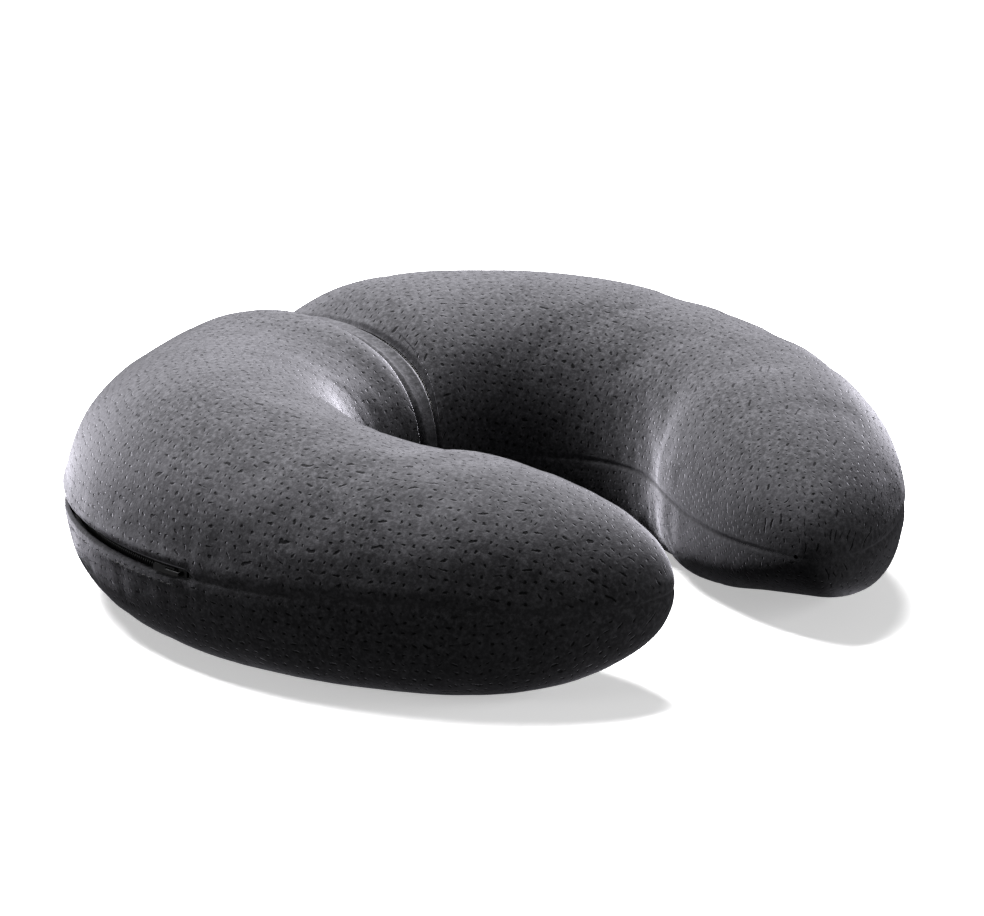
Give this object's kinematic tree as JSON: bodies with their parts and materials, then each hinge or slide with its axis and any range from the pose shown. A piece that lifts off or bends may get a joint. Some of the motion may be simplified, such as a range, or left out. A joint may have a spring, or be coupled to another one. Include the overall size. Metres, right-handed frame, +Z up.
{
  "type": "neck pillow",
  "caption": "U-shaped travel neck pillow: soft core inside a zip-off velour cover with a nape band",
  "frame": {"origin": "the middle of the bounding box's footprint, on the surface that the pillow lies on", "axes": "+X to the wearer's right arm, +Y to the nape, +Z up; the arms open towards -Y"},
  "size_m": [0.3014, 0.284, 0.0938],
  "materials": {
    "foam": "matte",
    "liner": "matte",
    "velour": "matte",
    "velour_band": "matte",
    "thread": "matte",
    "seam": "matte",
    "zip_tape": "matte",
    "zip_coil": "satin",
    "zip_metal": "satin"
  },
  "bodies": {
    "pillow": {"foam_core": "foam", "liner_upper": "liner", "liner_lower": "liner", "cover_upper_left": "velour", "cover_upper_right": "velour", "cover_lower": "velour", "nape_band": "velour_band", "nape_thread_left": "thread", "nape_thread_right": "thread", "seam_neck_left": "thread", "seam_neck_right": "thread", "seam_front_left": "seam", "seam_front_right": "seam", "zip_topstitch_lower": "thread", "zip_topstitch_upper": "thread", "zip_bartack_left": "thread", "zip_bartack_right": "thread", "zip_tape_lower": "zip_tape", "zip_tape_upper": "zip_tape", "zip_coil_lower": "zip_coil", "zip_coil_upper": "zip_coil", "zip_top_stops": "zip_coil", "zip_bottom_stop": "zip_coil"},
    "slider": {"zip_slider": "zip_metal"},
    "pull": {"zip_pull": "zip_metal"}
  },
  "joints": [
    {"name": "slider_travel", "type": "hinge", "parent": "pillow", "child": "slider", "pos_m": [0, -0.0084, 0.035], "axis": [0, 0, -1], "range_deg": [0, 184.9]},
    {"name": "pull_swing", "type": "hinge", "parent": "slider", "child": "pull", "pos_m": [-0.14935, -0.0178, 0.035], "axis": [0, 0, 1], "range_deg": [0, 150]}
  ]
}
